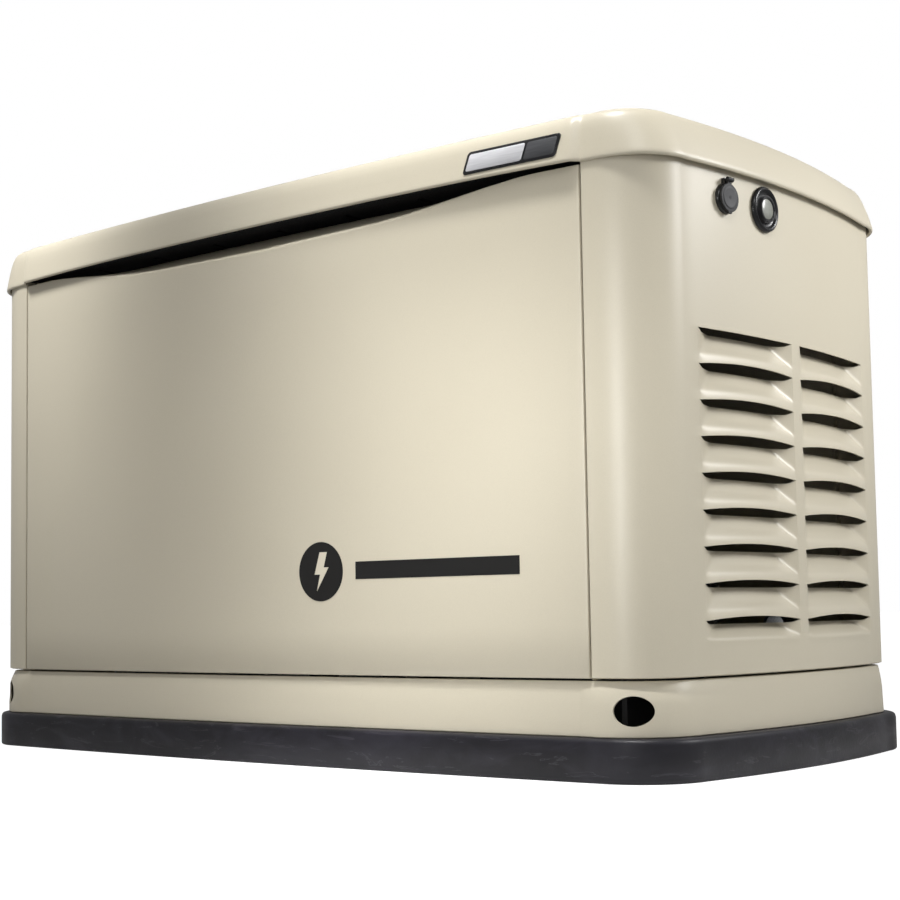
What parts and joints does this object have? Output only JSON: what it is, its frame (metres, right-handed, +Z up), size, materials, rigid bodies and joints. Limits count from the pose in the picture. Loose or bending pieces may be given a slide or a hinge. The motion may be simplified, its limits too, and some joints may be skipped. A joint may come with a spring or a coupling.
{
  "type": "home standby generator",
  "caption": "Home standby generator: tan louvred metal enclosure with a hinged lid, pull-off front panel and side locks, around an air-cooled V-twin alternator set on a black pad.",
  "frame": {"origin": "centre of the mounting pad's underside, at the middle of the overall plan box", "axes": "+X along the length to the end with the lock and the status light, -Y out of the front panel, +Z up"},
  "size_m": [1.218, 0.638, 0.732],
  "materials": {
    "panel": "satin powder coat",
    "pad": "moulded, scuffed",
    "black": "satin",
    "rubber": "matt",
    "foam": "acoustic foam",
    "lens": "translucent grey",
    "badge": "satin silver and grey",
    "cast": "as cast",
    "steel": "zinc plated",
    "engine_black": "satin black",
    "copper": "laminations and varnished windings",
    "yellow": "gloss",
    "filter": "pleated paper",
    "red": "gloss",
    "key_green": "gloss",
    "key_blue": "gloss"
  },
  "bodies": {
    "enclosure": {"mounting_pad": "pad", "base_tray": "panel", "end_panel_right": "panel", "end_panel_left": "panel", "rear_panel": "panel", "divider_wall": "steel", "hinge_leaf": "steel", "hinge_pin": "steel", "lock_body_right": "black", "lock_body_left": "black", "status_bezel": "black", "status_lens": "lens", "crankcase": "cast", "cylinder_front": "cast", "cylinder_rear": "cast", "rocker_cover_front": "engine_black", "rocker_cover_rear": "engine_black", "stator": "copper", "end_bell": "cast", "engine_cradle": "steel", "isolator_front_left": "rubber", "isolator_rear_left": "rubber", "isolator_front_right": "rubber", "isolator_rear_right": "rubber", "blower_housing": "engine_black", "starter_motor": "steel", "oil_filter": "yellow", "air_box": "engine_black", "air_filter": "filter", "muffler": "steel", "exhaust_pipe_front": "steel", "exhaust_pipe_rear": "steel", "gas_inlet": "cast", "gas_regulator": "cast", "gas_hose": "rubber", "cable_hub": "cast", "control_box": "black", "breaker_body": "black", "battery": "black", "battery_lead": "red"},
    "lid": {"lid_shell": "panel", "lid_liner": "foam", "lid_badge": "badge", "hinge_wing": "steel", "lid_catch_right": "steel", "lid_catch_left": "steel"},
    "front_cover": {"front_panel": "panel"},
    "cap_right": {"lock_cap_right": "rubber"},
    "cap_left": {"lock_cap_left": "rubber"},
    "barrel_right": {"lock_barrel_right": "steel"},
    "barrel_left": {"lock_barrel_left": "steel"},
    "crank": {"crankshaft": "steel", "rotor": "copper", "flywheel_fan": "cast"},
    "oil_dipstick": {"dipstick": "yellow"},
    "auto_key": {"key_auto": "key_green"},
    "off_key": {"key_off": "red"},
    "manual_key": {"key_manual": "key_blue"},
    "toggle": {"breaker_toggle": "red"},
    "air_cover": {"air_box_cover": "engine_black"}
  },
  "joints": [
    {"name": "lid_hinge", "type": "hinge", "parent": "enclosure", "child": "lid", "pos_m": [0, 0.3135, 0.671], "axis": [-1, 0, 0], "range_deg": [0, 95]},
    {"name": "front_panel_pull", "type": "slide", "parent": "enclosure", "child": "front_cover", "axis": [0, -1, 0], "range_m": [0, 0.3]},
    {"name": "lock_cap_right_flip", "type": "hinge", "parent": "enclosure", "child": "cap_right", "pos_m": [0.60024, -0.15144, 0.6605], "axis": [-0.1156, -0.9933, 0], "range_deg": [0, 120]},
    {"name": "lock_cap_left_flip", "type": "hinge", "parent": "enclosure", "child": "cap_left", "pos_m": [-0.60024, -0.15144, 0.6605], "axis": [-0.1156, 0.9933, 0], "range_deg": [0, 120]},
    {"name": "lock_right_turn", "type": "hinge", "parent": "enclosure", "child": "barrel_right", "pos_m": [0.58783, -0.15, 0.64], "axis": [-0.9933, 0.1156, 0], "range_deg": [0, 90]},
    {"name": "lock_left_turn", "type": "hinge", "parent": "enclosure", "child": "barrel_left", "pos_m": [-0.58783, -0.15, 0.64], "axis": [-0.9933, -0.1156, 0], "range_deg": [0, 90]},
    {"name": "crank_spin", "type": "hinge", "parent": "enclosure", "child": "crank", "pos_m": [0, 0.02, 0.27], "axis": [1, 0, 0], "continuous": true},
    {"name": "dipstick_pull", "type": "slide", "parent": "enclosure", "child": "oil_dipstick", "axis": [0, 0, 1], "range_m": [0, 0.1]},
    {"name": "auto_press", "type": "slide", "parent": "enclosure", "child": "auto_key", "axis": [0, 0.7593, -0.6508], "range_m": [0, 0.0015], "stiffness_N_per_m": 400, "springref_m": -0.001},
    {"name": "off_press", "type": "slide", "parent": "enclosure", "child": "off_key", "axis": [0, 0.7593, -0.6508], "range_m": [0, 0.0015], "stiffness_N_per_m": 400, "springref_m": -0.001},
    {"name": "manual_press", "type": "slide", "parent": "enclosure", "child": "manual_key", "axis": [0, 0.7593, -0.6508], "range_m": [0, 0.0015], "stiffness_N_per_m": 400, "springref_m": -0.001},
    {"name": "breaker_throw", "type": "hinge", "parent": "enclosure", "child": "toggle", "pos_m": [0.25, -0.2775, 0.465], "axis": [1, 0, 0], "range_deg": [0, 50]},
    {"name": "air_cover_lift", "type": "slide", "parent": "enclosure", "child": "air_cover", "axis": [0, 0, 1], "range_m": [0, 0.06]}
  ]
}
